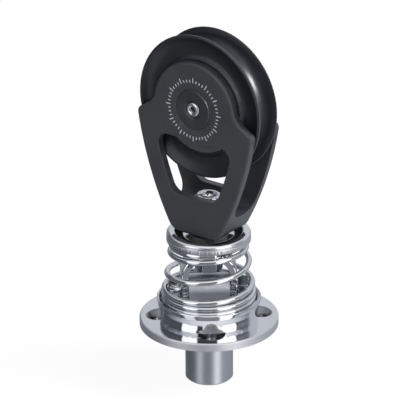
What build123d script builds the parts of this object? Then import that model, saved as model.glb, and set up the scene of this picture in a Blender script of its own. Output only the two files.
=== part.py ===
from build123d import *
import math
import os

# Stand-up block: a line block on a sprung toggle, over a round deck plate with a shank.
# Millimetres. Origin at the centre of the deck plate's underside, Z up, sheave axis along Y.

# The two sides of the block along its axle
FRONT, REAR = 1, -1

# Clearances
running_gap = 0.05
fit_gap = 0.02
thrust_gap = 0.15
same_point = 0.01

# Deck plate and shank
plate_radius = 29.0
plate_thickness = 3.4
plate_crown = 0.8
plate_crown_spare = 0.2
plate_edge_round = 0.7
shank_radius = 10.0
shank_length = 25.0
shank_chamfer = 0.8
shank_recess = 0.6
shank_relief_depth = 0.4
shank_relief_height = 0.8
spigot_hole_spare = 1.0
screw_circle_radius = 20.75
screw_count = 4
screw_hole_radius = 2.75
countersink_radius = 5.75
countersink_angle = 90.0
base_turn = 40.0

# Post with its lug, screwed through the deck plate into the shank
post_foot_radius = 12.5
post_foot_thickness = 3.0
post_spigot_radius = 6.0
post_spigot_length = 16.0
pivot_height = 11.5
lug_radius = 6.2
lug_length = 17.4
lug_edge_chamfer = 0.5
lug_bush_wall = 1.3

# Spring cup, loose on the deck plate under the spring
cup_wall_radius = 20.8
cup_wall_height = 2.5
cup_lip_radius = 21.7
cup_lip_edge = 0.3
cup_height = 8.0
cup_inner_radius = 20.3
cup_seat_height = 3.95
cup_bore_radius = 15.6

# Spring
wire_diameter = 2.4
spring_top_radius = 15.5
spring_cup_gap = 0.6
closed_turns_top = 0.95
closed_turns_bottom = 2.85
active_turns = 2.2
spring_turn = -42.0
pitch_ease = 0.35
points_per_turn = 12

# Toggle and its pivot screw
strap_thickness = 3.0
strap_width = 12.0
strap_edge_round = 1.0
leg_rise = 6.4
crown_rise = 1.65
crown_radius = 8.0
nut_seat_drop = 1.6
pivot_radius = 3.0
pivot_head_radius = 4.5
pivot_head_length = 4.8
pivot_head_chamfer = 0.4
pivot_nut_across_flats = 9.0
pivot_nut_thickness = 4.4
nut_corner_slope = 0.6
pivot_socket_across_flats = 5.0
pivot_socket_depth = 3.0

# Spring collar
collar_radius = 17.5
collar_rim_radius = 14.5
collar_rim_height = 1.8
collar_rim_round = 1.45
collar_rim_inner_round = 0.4
collar_bowl_floor_radius = 8.6
collar_line_drop = 1.65
collar_line_depth = 0.25
collar_line_height = 0.35
collar_wall_height = 4.1
collar_web = 4.6
collar_spigot_gap = 0.2

# Swivel bolt, its nut, bush and washers
bolt_shoulder_radius = 4.0
bolt_thread_radius = 3.0
bolt_head_radius = 5.4
bolt_head_height = 4.8
bolt_head_chamfer = 0.5
bolt_socket_across_flats = 5.0
bolt_socket_depth = 2.8
bolt_tail = 0.6
head_washer_radius = 5.9
head_washer_thickness = 1.3
thrust_washer_radius = 8.0
thrust_washer_thickness = 1.0
swivel_bush_wall = 1.2
swivel_nut_across_flats = 10.0
swivel_nut_thickness = 5.0

# One-piece frame
slot_half_width = 6.8
cheek_thickness = 3.3
slot_corner_radius = 6.0
frame_boss_radius = 7.6
frame_boss_height = 1.3
frame_base_thickness = 10.05
spot_face_depth = 0.75
spot_face_gap = 0.3
line_space = 15.4
head_radius = 20.0
foot_half_width = 11.4
waist_bulge = 2.6
waist_drop = 30.5
ear_half_width = 29.1
ear_drop = 5.8
ear_slope = 32.0
ear_fillet_share = 0.318
neck_fillet_share = 0.909
foot_fillet = 6.5
frame_edge_round = 1.1
leg_width = 8.1
window_sill = 6.65
window_top_drop = 13.9
window_hub_radius = 16.3
window_low_fillet = 6.0
window_high_fillet = 4.4
window_edge_round = 0.45

# Axle, caps and cap screws
axle_radius = 5.0
cap_radius = 8.4
cap_sink = 1.6
cap_stand = 0.6
cap_edge_round = 0.45
cap_screw_radius = 1.6
cap_screw_length = 6.0
cap_screw_head_radius = 3.2
cap_screw_head_height = 1.5
cap_screw_head_round = 0.9
cap_screw_recess_radius = 4.1
cap_screw_recess_depth = 0.35
cap_screw_socket_across_flats = 2.5
cap_screw_socket_depth = 1.0

# Sheave and its two rows of balls
sheave_radius = 30.5
sheave_width = 12.6
groove_radius = 5.0
groove_depth = 7.2
rim_lip = 0.75
rim_flat = 0.35
rim_round_width = 1.2
rim_round_drop = 0.5
groove_web = 3.5
dish_depth = 1.5
dish_hollow = 0.1
dish_start = 0.5
ridge_drop = 0.3
race_land = 1.0
race_land_drop = 0.35
ball_radius = 1.75
ball_row_offset = 4.2
balls_per_row = 20
race_gap = 0.05
cone_lip_drop = 1.6
cage_thickness_inside = 1.4
cage_thickness_outside = 1.5
cage_outward = 2.0
cage_inward = 0.7

# Heights that follow from the sizes above
plate_top = plate_thickness + plate_crown
pivot_z = plate_top + pivot_height
arch_inner_radius = lug_length / 2 + thrust_gap
strap_outer_radius = arch_inner_radius + strap_thickness
arch_z = pivot_z + leg_rise
crown_top = arch_z + strap_outer_radius + crown_rise
nut_seat_z = arch_z + arch_inner_radius - nut_seat_drop
collar_floor = crown_top + collar_web
collar_rim_top = collar_floor + collar_rim_height
collar_wall_bottom = collar_rim_top - collar_wall_height
seat_z = plate_top + cup_seat_height
cup_rim_top = plate_top + cup_height
frame_boss_bottom = collar_floor + thrust_washer_thickness + running_gap
frame_bottom = frame_boss_bottom + frame_boss_height
slot_floor = frame_bottom + frame_base_thickness
spot_face = slot_floor - spot_face_depth
axle_z = slot_floor + line_space + sheave_radius
frame_half_width = slot_half_width + cheek_thickness
cap_seat = frame_half_width - cap_sink

# Sizes of the cheeks' outline that follow from the ears
ear_z = axle_z - ear_drop
waist_z = axle_z - waist_drop
waist_share = (waist_z - frame_bottom) / (ear_z - frame_bottom)
waist_half_width = foot_half_width + (ear_half_width - foot_half_width) * waist_share + waist_bulge
ear_fillet = (ear_half_width - head_radius) * ear_fillet_share
neck_fillet = (ear_half_width - head_radius) * neck_fillet_share

# Radii of the ball bearing that follow from the sheave
race_outer_radius = sheave_radius - groove_depth - groove_web
ball_circle_radius = race_outer_radius - ball_radius - race_gap
dish_inner_radius = race_outer_radius + race_land + dish_start
cone_lip_radius = ball_circle_radius - cone_lip_drop
cage_inner_radius = ball_circle_radius - cage_thickness_inside
cage_outer_radius = ball_circle_radius + cage_thickness_outside


def turned(*points):
    """A solid turned about Z from a closed outline of (radius, height) points."""
    return revolve(Plane.XZ * make_face(Polyline(*points, close=True)), Axis.Z)


def rod(radius, low, high):
    """A plain round bar on Z between two heights."""
    return Pos(0, 0, low) * Cylinder(radius, high - low, align=(Align.CENTER, Align.CENTER, Align.MIN))


def ring(outer, inner, low, high):
    """A plain ring on Z between two heights."""
    return rod(outer, low, high) - rod(inner, low, high)


def hex_bar(across_flats, low, high):
    """A hexagonal bar on Z between two heights."""
    outline = RegularPolygon(across_flats / 2, 6, major_radius=False)
    return Pos(0, 0, low) * extrude(outline, high - low)


def on_axle(shape):
    """Lays a shape built on Z along the sheave's axis, with its +Z end to the front."""
    return Pos(0, 0, axle_z) * Rot(90, 0, 0) * shape


def on_pivot(shape):
    """Lays a shape built on Z along the toggle's pivot."""
    return Pos(0, 0, pivot_z) * Rot(0, 0, base_turn) * Rot(0, 90, 0) * shape


def facing(shape, side):
    """Keeps a shape built on Z for the front side, or turns it over for the rear one."""
    return shape if side > 0 else Rot(180, 0, 0) * shape


def turned_base(shape):
    """Turns a shape built with the pivot along X to where the base stands."""
    return Rot(0, 0, base_turn) * shape


def across_pivot(outline, width):
    """Extrudes an outline drawn in the plane of the pivot and Z to both sides of it."""
    return extrude(Plane.XZ * outline, width / 2, both=True)


def deck_plate():
    """Flange with a low crown and four countersunk holes, a hole for the post and a recess for the shank."""
    crown_radius = cup_wall_radius + plate_crown_spare
    plate = turned(
        (0, 0),
        (plate_radius, 0),
        (plate_radius, plate_thickness),
        (crown_radius, plate_top),
        (0, plate_top),
    )
    rim = plate.edges().filter_by(lambda edge: abs(edge.center().Z - plate_thickness) < same_point)
    plate = fillet(rim, plate_edge_round)
    plate -= rod(post_spigot_radius + fit_gap, 0, plate_top)
    plate -= rod(shank_radius + fit_gap, 0, shank_recess)
    sink_depth = (countersink_radius - screw_hole_radius) / math.tan(math.radians(countersink_angle / 2))
    hole = rod(screw_hole_radius, 0, plate_top)
    hole += turned(
        (0, plate_top),
        (countersink_radius, plate_top),
        (screw_hole_radius, plate_top - sink_depth),
        (0, plate_top - sink_depth),
    )
    for number in range(screw_count):
        turn = Rot(0, 0, base_turn + number * 360 / screw_count)
        plate -= turn * Pos(screw_circle_radius, 0, 0) * hole
    return plate


def shank():
    """Round shank under the plate, relieved below its seat and drilled for the post's spigot."""
    bar = rod(shank_radius, -shank_length, shank_recess)
    bar = chamfer(bar.edges().group_by(Axis.Z)[0], shank_chamfer)
    bar -= ring(shank_radius, shank_radius - shank_relief_depth, -shank_relief_height, 0)
    hole_end = plate_top - post_spigot_length - spigot_hole_spare
    return bar - rod(post_spigot_radius + fit_gap, hole_end, shank_recess)


def post():
    """Round foot with a round-topped lug above it and a spigot below."""
    foot_top = plate_top + post_foot_thickness
    body = rod(post_foot_radius, plate_top, foot_top)
    body += rod(post_spigot_radius, plate_top - post_spigot_length, plate_top)
    height = pivot_z - foot_top
    lug = Pos(0, 0, foot_top) * Box(
        lug_length, 2 * lug_radius, height, align=(Align.CENTER, Align.CENTER, Align.MIN)
    )
    lug += Pos(0, 0, pivot_z) * Rot(0, 90, 0) * Cylinder(lug_radius, lug_length)
    lug = chamfer(lug.edges().filter_by(GeomType.CIRCLE), lug_edge_chamfer)
    bore = Pos(0, 0, pivot_z) * Rot(0, 90, 0) * Cylinder(pivot_radius + lug_bush_wall + fit_gap, lug_length)
    return turned_base(body + lug - bore)


def lug_bush():
    """Plain bush in the lug."""
    inner = pivot_radius + running_gap
    return on_pivot(ring(pivot_radius + lug_bush_wall, inner, -lug_length / 2, lug_length / 2))


def spring_cup():
    """Turned ring whose wall flares to a lip, with a seat for the spring."""
    return turned(
        (cup_bore_radius, plate_top),
        (cup_wall_radius, plate_top),
        (cup_wall_radius, plate_top + cup_wall_height),
        (cup_lip_radius, cup_rim_top - cup_lip_edge),
        (cup_lip_radius - cup_lip_edge, cup_rim_top),
        (cup_inner_radius, cup_rim_top),
        (cup_inner_radius, seat_z),
        (cup_bore_radius, seat_z),
    )


def spring_station(turn):
    """Centre-line radius and height of the wire after a number of turns up from the seat."""
    low_radius = cup_inner_radius - spring_cup_gap - wire_diameter / 2
    low = seat_z + wire_diameter / 2 + fit_gap
    high = collar_wall_bottom - wire_diameter / 2 - fit_gap
    total = closed_turns_bottom + active_turns + closed_turns_top
    closed_pitch = wire_diameter + fit_gap
    pitch = (high - low - closed_pitch * (total - active_turns)) / active_turns
    up = min(turn, closed_turns_bottom) * closed_pitch
    middle = min(max(turn - closed_turns_bottom, 0), active_turns)
    eased = middle - math.sin(2 * math.pi * middle / active_turns) * active_turns / (2 * math.pi)
    up += pitch * (middle * (1 - pitch_ease) + eased * pitch_ease)
    up += max(turn - closed_turns_bottom - active_turns, 0) * closed_pitch
    radius = low_radius + (spring_top_radius - low_radius) * middle / active_turns
    return radius, low + up


def spring():
    """Conical wire spring with closed ends, swept along its own coil."""
    total = closed_turns_bottom + active_turns + closed_turns_top
    count = round(total * points_per_turn)
    points = []
    for step in range(count + 1):
        turn = total * step / count
        radius, height = spring_station(turn)
        angle = math.radians(spring_turn) + 2 * math.pi * turn
        points.append((radius * math.cos(angle), radius * math.sin(angle), height))
    path = Spline(*points)
    section = Plane(origin=path @ 0, z_dir=path % 0) * Circle(wire_diameter / 2)
    return sweep(section, path=path)


def toggle():
    """Arched strap over the lug, with a round crown that carries the collar."""
    outer = Pos(0, arch_z) * Circle(strap_outer_radius)
    outer += Pos(0, (arch_z + pivot_z) / 2) * Rectangle(2 * strap_outer_radius, arch_z - pivot_z)
    inner = Pos(0, arch_z) * Circle(arch_inner_radius)
    foot = pivot_z - strap_width
    inner += Pos(0, (arch_z + foot) / 2) * Rectangle(2 * arch_inner_radius, arch_z - foot)
    strap = across_pivot(outer, strap_width)
    ends = Pos(0, 0, pivot_z) * Rot(0, 90, 0) * Cylinder(strap_width / 2, 2 * strap_outer_radius)
    body = strap + ends
    strap_top = arch_z + strap_outer_radius
    rims = [
        edge
        for edge in body.edges()
        if abs(abs(edge.center().X) - strap_outer_radius) < same_point
        or abs(edge.center().Z - strap_top) < same_point
    ]
    body = fillet(rims, strap_edge_round) + rod(crown_radius, arch_z, crown_top)
    body -= across_pivot(inner, 3 * strap_width)
    seat_reach = swivel_nut_across_flats / 2 / math.cos(math.pi / 6) + fit_gap
    body -= rod(seat_reach, pivot_z, nut_seat_z)
    body -= rod(bolt_thread_radius + fit_gap, pivot_z, crown_top)
    body -= Pos(0, 0, pivot_z) * Rot(0, 90, 0) * Cylinder(pivot_radius + fit_gap, 4 * strap_outer_radius)
    return turned_base(body)


def pivot_screw():
    """Socket screw through both legs and the lug."""
    end = strap_outer_radius
    screw = rod(pivot_radius, -end, end + pivot_nut_thickness)
    head = rod(pivot_head_radius, -end - pivot_head_length, -end)
    screw += chamfer(head.edges().group_by(Axis.Z)[0], pivot_head_chamfer)
    head_end = -end - pivot_head_length
    screw -= hex_bar(pivot_socket_across_flats, head_end, head_end + pivot_socket_depth)
    return on_pivot(screw)


def hex_nut(across_flats, bore, low, high):
    """Hexagonal nut with its corners turned off at both ends."""
    corner = across_flats / 2 / math.cos(math.pi / 6)
    cut = (corner - across_flats / 2) * nut_corner_slope
    barrel = turned(
        (0, low),
        (across_flats / 2, low),
        (corner, low + cut),
        (corner, high - cut),
        (across_flats / 2, high),
        (0, high),
    )
    return (hex_bar(across_flats, low, high) & barrel) - rod(bore, low, high)


def pivot_nut():
    """Nut on the pivot screw."""
    low = strap_outer_radius
    return on_pivot(hex_nut(pivot_nut_across_flats, pivot_radius + fit_gap, low, low + pivot_nut_thickness))


def spring_collar():
    """Turned collar with a bowl in its top, on the toggle's crown and over the spring's top turn."""
    spigot = spring_top_radius - wire_diameter / 2 - collar_spigot_gap
    line_z = collar_rim_top - collar_line_drop
    outline = Polyline(
        (bolt_thread_radius + fit_gap, crown_top),
        (spigot, crown_top),
        (spigot, collar_wall_bottom),
        (collar_radius, collar_wall_bottom),
        (collar_radius, line_z - collar_line_height),
        (collar_radius - collar_line_depth, line_z - collar_line_height),
        (collar_radius - collar_line_depth, line_z),
        (collar_radius, line_z),
        (collar_radius, collar_rim_top),
        (collar_rim_radius, collar_rim_top),
    )
    bowl_start = (collar_bowl_floor_radius, collar_floor)
    outline += TangentArc(bowl_start, (collar_rim_radius, collar_rim_top), tangent=(1, 0))
    outline += Polyline(
        bowl_start,
        (bolt_thread_radius + fit_gap, collar_floor),
        (bolt_thread_radius + fit_gap, crown_top),
    )
    dish = revolve(Plane.XZ * make_face(outline.edges()), Axis.Z)
    rims = dish.edges().group_by(Axis.Z)[-1].sort_by(lambda edge: edge.radius)
    dish = fillet(rims[-1:], collar_rim_round)
    inner = dish.edges().group_by(Axis.Z)[-1].sort_by(lambda edge: edge.radius)
    return fillet(inner[:1], collar_rim_inner_round)


def thrust_washer():
    """Plastic washer between the collar and the frame."""
    inner = bolt_shoulder_radius + running_gap
    return ring(thrust_washer_radius, inner, collar_floor, collar_floor + thrust_washer_thickness)


def swivel_bush():
    """Plastic bush that the frame turns on."""
    inner = bolt_shoulder_radius + running_gap
    return ring(bolt_shoulder_radius + swivel_bush_wall, inner, frame_boss_bottom, spot_face)


def head_washer():
    """Washer under the swivel bolt's head."""
    low = spot_face + running_gap
    return ring(head_washer_radius, bolt_shoulder_radius + fit_gap, low, low + head_washer_thickness)


def swivel_bolt():
    """Shouldered socket bolt that holds the frame on the toggle."""
    head_low = spot_face + running_gap + head_washer_thickness
    head_top = head_low + bolt_head_height
    head = rod(bolt_head_radius, head_low, head_top)
    head = chamfer(head.edges().group_by(Axis.Z)[-1], bolt_head_chamfer)
    bolt = head + rod(bolt_shoulder_radius, collar_floor, head_low)
    bolt += rod(bolt_thread_radius, nut_seat_z - swivel_nut_thickness - bolt_tail, collar_floor)
    return bolt - hex_bar(bolt_socket_across_flats, head_top - bolt_socket_depth, head_top)


def swivel_nut():
    """Nut under the toggle's crown."""
    low = nut_seat_z - swivel_nut_thickness
    nut = hex_nut(swivel_nut_across_flats, bolt_thread_radius + fit_gap, low, nut_seat_z)
    return turned_base(nut)


def cheek_outline():
    """Outline of the cheeks from the front: round head, ears and a tapering body."""
    # the ear's upper edge runs on to half the head's radius, inside the head
    inside = head_radius / 2
    neck_z = ear_z + (ear_half_width - inside) * math.tan(math.radians(ear_slope))
    flank = ThreePointArc((foot_half_width, frame_bottom), (waist_half_width, waist_z), (ear_half_width, ear_z))
    edge = Line((ear_half_width, ear_z), (inside, neck_z))
    right = flank + edge + Line((inside, neck_z), (0, neck_z)) + Line((0, frame_bottom), flank @ 0)
    half = make_face((right + Line((0, neck_z), (0, frame_bottom))).edges())
    whole = half + mirror(half, about=Plane.YZ) + Pos(0, axle_z) * Circle(head_radius)
    ears = [v for v in whole.vertices() if abs(v.Y - ear_z) < same_point]
    whole = fillet(ears, ear_fillet)
    feet = [v for v in whole.vertices() if abs(v.Y - frame_bottom) < same_point]
    whole = fillet(feet, foot_fillet)
    necks = [
        v
        for v in whole.vertices()
        if abs(math.hypot(v.X, v.Y - axle_z) - head_radius) < same_point and abs(v.X) > same_point
    ]
    return fillet(necks, neck_fillet)


def window_outline():
    """Outline of the window under the hub, inside both legs of the cheek."""
    sill = slot_floor + window_sill
    top = axle_z - window_top_drop
    flank = ThreePointArc((foot_half_width, frame_bottom), (waist_half_width, waist_z), (ear_half_width, ear_z))
    centre = flank.arc_center
    inner = flank.radius - leg_width
    right = Pos(centre.X, centre.Y) * Circle(inner)
    left = Pos(-centre.X, centre.Y) * Circle(inner)
    band = Pos(0, (sill + top) / 2) * Rectangle(2 * ear_half_width, top - sill)
    window = band & right & left
    corners = window.vertices().sort_by(Axis.Y)
    window = fillet(corners[:2], window_low_fillet)
    window = fillet(window.vertices().group_by(Axis.Y)[-1], window_high_fillet)
    return window - Pos(0, axle_z) * Circle(window_hub_radius)


def frame():
    """One-piece frame: two cheeks on a solid base, with windows, axle bores and a swivel bore."""
    solid = extrude(Plane.XZ * cheek_outline(), frame_half_width, both=True)
    faces = solid.faces().filter_by(Axis.Y)
    rims = [edge for face in faces for edge in face.outer_wire().edges()]
    solid = fillet(rims, frame_edge_round)
    slot_top = axle_z + sheave_radius
    slot = Rectangle(2 * slot_half_width, slot_top - slot_floor)
    slot = fillet(slot.vertices().group_by(Axis.Y)[0], slot_corner_radius)
    slot = Pos(0, (slot_top + slot_floor) / 2) * slot
    solid -= extrude(Plane.YZ * slot, 2 * ear_half_width, both=True)
    solid -= extrude(Plane.XZ * window_outline(), 2 * frame_half_width, both=True)
    cheeks = solid.faces().filter_by(Axis.Y).group_by(Axis.Y)
    rims = [edge for face in cheeks[0] + cheeks[-1] for wire in face.inner_wires() for edge in wire.edges()]
    solid = fillet(rims, window_edge_round)
    solid += rod(frame_boss_radius, frame_boss_bottom, slot_floor)
    solid -= rod(bolt_shoulder_radius + swivel_bush_wall + fit_gap, frame_boss_bottom, slot_floor)
    spot_top = slot_floor + slot_corner_radius
    solid -= rod(head_washer_radius + spot_face_gap, spot_face, spot_top)
    solid -= on_axle(rod(axle_radius + fit_gap, -cap_seat, cap_seat))
    for side in (FRONT, REAR):
        low, high = sorted((side * cap_seat, side * frame_half_width))
        solid -= on_axle(rod(cap_radius + fit_gap, low, high))
    return solid


def axle():
    """Round axle, tapped at both ends."""
    bar = rod(axle_radius, -cap_seat, cap_seat)
    for side in (FRONT, REAR):
        low, high = sorted((side * (cap_seat - cap_screw_length), side * cap_seat))
        bar -= rod(cap_screw_radius + fit_gap, low, high)
    return on_axle(bar)


def axle_cap(side):
    """Disc let into a cheek over the axle's end, recessed for its screw."""
    face = cap_seat + cap_sink + cap_stand
    disc = rod(cap_radius, cap_seat, face)
    disc = fillet(disc.edges().group_by(Axis.Z)[-1], cap_edge_round)
    disc -= rod(cap_screw_recess_radius, face - cap_screw_recess_depth, face)
    disc -= rod(cap_screw_radius + fit_gap, cap_seat, face)
    head_low = face - cap_screw_recess_depth - cap_screw_head_height
    disc -= rod(cap_screw_head_radius + fit_gap, head_low, face)
    return on_axle(facing(disc, side))


def cap_screw(side):
    """Button-head socket screw in the middle of a cap."""
    face = cap_seat + cap_sink + cap_stand
    head_low = face - cap_screw_recess_depth - cap_screw_head_height
    screw = rod(cap_screw_head_radius, head_low, face)
    screw = fillet(screw.edges().group_by(Axis.Z)[-1], cap_screw_head_round)
    screw += rod(cap_screw_radius, cap_seat - cap_screw_length, head_low)
    screw -= hex_bar(cap_screw_socket_across_flats, face - cap_screw_socket_depth, face)
    return on_axle(facing(screw, side))


def sheave():
    """Grooved wheel with a ridge in its bore between two ball races."""
    half = sheave_width / 2
    bottom = sheave_radius - groove_depth
    groove_centre = bottom + groove_radius
    lip = half - rim_lip
    race = ball_radius + race_gap
    bore = race_outer_radius
    ridge = ball_row_offset - race
    ridge_radius = cage_inner_radius + ridge_drop
    land = half - race_land_drop
    dish = half - dish_depth
    side = Polyline(
        (ridge_radius, 0),
        (ridge_radius, ridge),
        (ball_circle_radius, ridge),
    ) + ThreePointArc(
        (ball_circle_radius, ridge),
        (
            ball_circle_radius + race * math.sin(math.pi / 4),
            ball_row_offset - race * math.cos(math.pi / 4),
        ),
        (bore, ball_row_offset),
    )
    side += Polyline((bore, ball_row_offset), (bore, land), (bore + race_land, land), (dish_inner_radius, dish))
    rim_in = (sheave_radius - rim_round_width, half)
    rim_out = (sheave_radius, half - rim_round_drop)
    middle = (dish_inner_radius + rim_in[0]) / 2
    side += ThreePointArc((dish_inner_radius, dish), (middle, dish - dish_hollow), rim_in)
    side += TangentArc(rim_in, rim_out, tangent=(1, 0))
    side += Polyline(rim_out, (sheave_radius - rim_flat, lip), (groove_centre, groove_radius))
    arc_mid = groove_radius * math.sin(math.pi / 4)
    side += ThreePointArc((groove_centre, groove_radius), (groove_centre - arc_mid, arc_mid), (bottom, 0))
    side += Line((bottom, 0), (ridge_radius, 0))
    profile = make_face(side.edges())
    profile += mirror(profile, about=Plane.XZ)
    return on_axle(revolve(Plane.XZ * profile, Axis.Z))


def bearing_cone(side):
    """Inner race of one ball row, with a lip on its outer side."""
    race = ball_radius + race_gap
    inner = ball_circle_radius - race
    rise = math.sqrt(race ** 2 - (ball_circle_radius - cone_lip_radius) ** 2)
    half_angle = math.asin(rise / race) / 2
    outline = Polyline(
        (axle_radius + fit_gap, fit_gap),
        (inner, fit_gap),
        (inner, ball_row_offset),
    ) + ThreePointArc(
        (inner, ball_row_offset),
        (
            ball_circle_radius - race * math.cos(half_angle),
            ball_row_offset + race * math.sin(half_angle),
        ),
        (cone_lip_radius, ball_row_offset + rise),
    )
    outline += Polyline(
        (cone_lip_radius, ball_row_offset + rise),
        (cone_lip_radius, slot_half_width - fit_gap),
        (axle_radius + fit_gap, slot_half_width - fit_gap),
        (axle_radius + fit_gap, fit_gap),
    )
    cone = revolve(Plane.XZ * make_face(outline.edges()), Axis.Z)
    return on_axle(facing(cone, side))


def ball_places(side):
    """Centres of the balls of one row, in the axle's own frame."""
    places = []
    for number in range(balls_per_row):
        angle = 360 * (number + 0.5) / balls_per_row
        places.append(Rot(0, 0, angle) * Pos(ball_circle_radius, 0, side * ball_row_offset))
    return places


def ball_row(side):
    """One row of loose balls."""
    return on_axle(Compound(children=[place * Sphere(ball_radius) for place in ball_places(side)]))


def ball_cage(side):
    """Crown cage that keeps one row of balls apart."""
    low = ball_row_offset - cage_inward
    cage = facing(ring(cage_outer_radius, cage_inner_radius, low, ball_row_offset + cage_outward), side)
    pockets = [place * Sphere(ball_radius + race_gap) for place in ball_places(side)]
    return on_axle(cage - pockets)


nodes = {
    "deck_plate": deck_plate(),
    "shank": shank(),
    "post": post(),
    "lug_bush": lug_bush(),
    "spring_cup": spring_cup(),
    "spring": spring(),
    "toggle": toggle(),
    "pivot_screw": pivot_screw(),
    "pivot_nut": pivot_nut(),
    "spring_collar": spring_collar(),
    "thrust_washer": thrust_washer(),
    "swivel_bush": swivel_bush(),
    "head_washer": head_washer(),
    "swivel_bolt": swivel_bolt(),
    "swivel_nut": swivel_nut(),
    "frame": frame(),
    "axle": axle(),
    "axle_cap_front": axle_cap(FRONT),
    "axle_cap_rear": axle_cap(REAR),
    "cap_screw_front": cap_screw(FRONT),
    "cap_screw_rear": cap_screw(REAR),
    "sheave": sheave(),
    "bearing_cone_front": bearing_cone(FRONT),
    "bearing_cone_rear": bearing_cone(REAR),
    "balls_front": ball_row(FRONT),
    "balls_rear": ball_row(REAR),
    "ball_cage_front": ball_cage(FRONT),
    "ball_cage_rear": ball_cage(REAR),
}

os.makedirs("parts", exist_ok=True)
for name, shape in nodes.items():
    export_step(shape, f"parts/{name}.step")
    print(f"{name}: {shape.volume:.1f} mm3")
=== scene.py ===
"""Stand-up block: finishes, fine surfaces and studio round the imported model.

Lengths are in metres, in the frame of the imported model: Z up, the sheave's axle along Y, and the front
cheek to -Y.
"""

import logging
import math
from collections.abc import Sequence
from dataclasses import dataclass
from enum import Enum
from typing import ClassVar

import bpy
import numpy as np
from mathutils import Matrix, Vector


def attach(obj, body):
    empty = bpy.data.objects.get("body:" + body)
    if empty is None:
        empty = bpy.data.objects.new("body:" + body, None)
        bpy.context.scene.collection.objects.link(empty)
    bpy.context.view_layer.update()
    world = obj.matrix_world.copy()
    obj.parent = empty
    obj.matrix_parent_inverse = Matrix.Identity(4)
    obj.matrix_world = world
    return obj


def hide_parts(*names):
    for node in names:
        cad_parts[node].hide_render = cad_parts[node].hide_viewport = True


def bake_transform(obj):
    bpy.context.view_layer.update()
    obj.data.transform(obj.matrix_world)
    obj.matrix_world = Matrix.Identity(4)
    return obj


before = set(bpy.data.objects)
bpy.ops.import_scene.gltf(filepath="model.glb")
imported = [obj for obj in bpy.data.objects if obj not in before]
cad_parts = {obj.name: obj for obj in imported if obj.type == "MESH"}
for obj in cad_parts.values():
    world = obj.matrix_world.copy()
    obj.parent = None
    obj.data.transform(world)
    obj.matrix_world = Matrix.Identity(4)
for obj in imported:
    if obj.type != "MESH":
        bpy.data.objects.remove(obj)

MM = 0.001
AXLE_HEIGHT = 98.5 * MM
BASE_TURN = 40.0
ENDS = ("front", "rear")
log = logging.getLogger("stand_up_block")


class Body(Enum):
    """The moving bodies of the block."""

    BASE = "base"
    TOGGLE = "toggle_group"
    BLOCK = "block"
    SHEAVE = "sheave_wheel"
    FRONT_BALLS = "ball_row_front"
    REAR_BALLS = "ball_row_rear"


class Grain(Enum):
    """How a metal surface was worked."""

    POLISHED = "polished"
    TURNED = "turned"
    ROLLED = "rolled"


class Wiring:
    """Adds nodes to one shader tree and joins them."""

    def __init__(self, tree: bpy.types.NodeTree) -> None:
        """Keeps the tree."""
        self.tree = tree

    def feed(self, end: bpy.types.NodeSocket, value: object) -> None:
        """Gives an input its value, which is a socket to join or a plain number or colour."""
        if isinstance(value, bpy.types.NodeSocket):
            self.tree.links.new(value, end)
        else:
            end.default_value = value

    def node(
        self, kind: str, inputs: dict[str | int, object] | None = None, **settings: object
    ) -> bpy.types.Node:
        """Adds a node.

        Args:
            kind: The node's type.
            inputs: What its inputs are fed.
            settings: Its properties.

        Returns:
            The new node.
        """
        made = self.tree.nodes.new(kind)
        for key, value in settings.items():
            setattr(made, key, value)
        for label, value in (inputs or {}).items():
            self.feed(made.inputs[label], value)
        return made

    def math(self, operation: str, *values: object) -> bpy.types.NodeSocket:
        """Adds a Math node on sockets and numbers, and gives its result."""
        return self.node("ShaderNodeMath", dict(enumerate(values)), operation=operation).outputs[0]

    def length(self, *sides: bpy.types.NodeSocket) -> bpy.types.NodeSocket:
        """Adds the length of a vector with two sides, and gives it."""
        return self.math("SQRT", self.math("ADD", *(self.math("MULTIPLY", side, side) for side in sides)))

    def split(self, vector: bpy.types.NodeSocket) -> bpy.types.bpy_prop_collection:
        """Splits a vector, and gives its X, Y and Z outputs."""
        return self.node("ShaderNodeSeparateXYZ", {"Vector": vector}).outputs

    def mixed(self, share: object, colour: object, other: object) -> bpy.types.NodeSocket:
        """Blends a colour to another by a share, and gives the result."""
        inputs = {"Factor": share, "A": colour, "B": other}
        return self.node("ShaderNodeMix", inputs, data_type="RGBA").outputs["Result"]

    def smooth(
        self, value: object, low: float, high: float, start: object, end: object
    ) -> bpy.types.NodeSocket:
        """Adds a smooth step.

        Args:
            value: What it depends on.
            low: Where the step begins.
            high: Where it ends.
            start: The result up to its beginning.
            end: The result past its end.

        Returns:
            The result.
        """
        inputs = {"Value": value, "From Min": low, "From Max": high, "To Min": start, "To Max": end}
        return self.node("ShaderNodeMapRange", inputs, interpolation_type="SMOOTHSTEP").outputs["Result"]


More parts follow.
